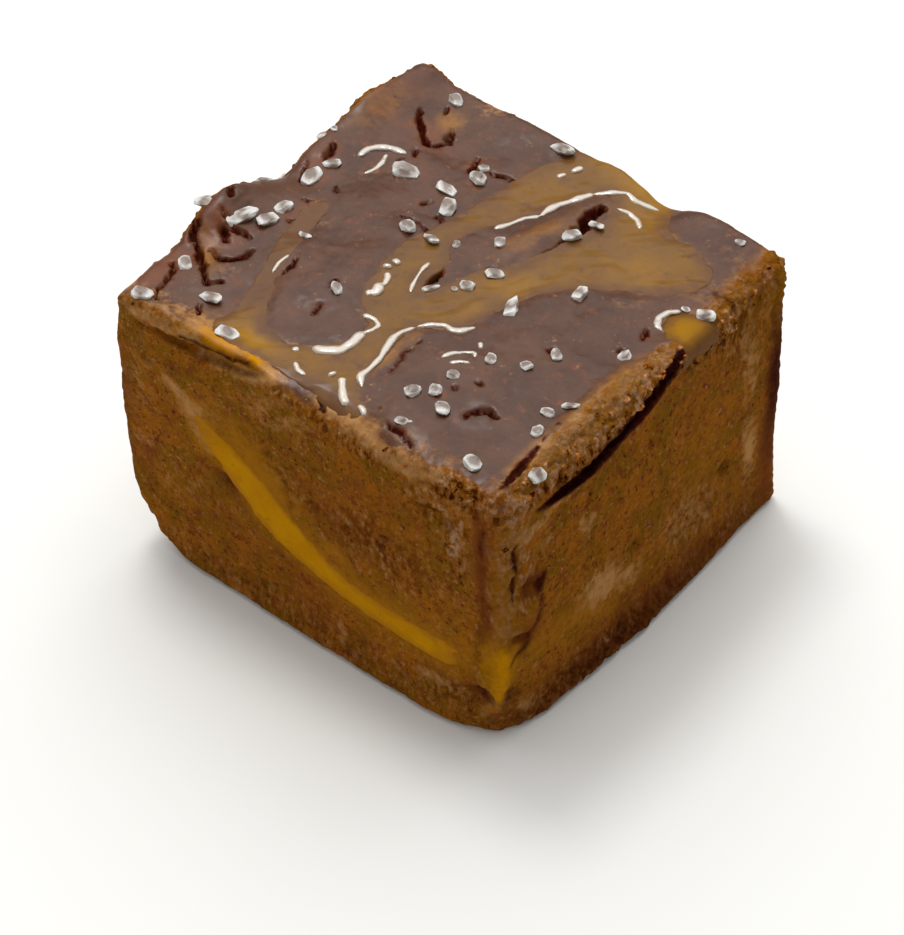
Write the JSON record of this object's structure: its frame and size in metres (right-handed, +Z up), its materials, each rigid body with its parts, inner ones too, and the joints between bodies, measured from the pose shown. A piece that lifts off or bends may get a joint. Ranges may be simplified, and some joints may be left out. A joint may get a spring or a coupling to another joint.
{
  "type": "piece of chocolate caramel fudge",
  "caption": "Square-cut block of chocolate fudge with a ribbon of caramel through it, caramel swirled in channels across the top, and coarse salt crystals pressed in.",
  "frame": {"origin": "middle of the block's box, at the height of the flat base it rests on", "axes": "+Z up; +X along the longer cut side, towards the side with the crack under its rim; +Y along the shorter one, away from the side where the caramel ribbon shows best"},
  "size_m": [0.049, 0.0466, 0.0347],
  "materials": {
    "fudge": "dull, slightly greasy chocolate fudge, paler and crumbly along its cut edges",
    "caramel": "glossy amber caramel"
  },
  "bodies": {
    "root": {"fudge": "fudge", "caramel_ribbon": "caramel", "caramel_swirl": "caramel", "caramel_rim_dab": "caramel"}
  },
  "joints": []
}
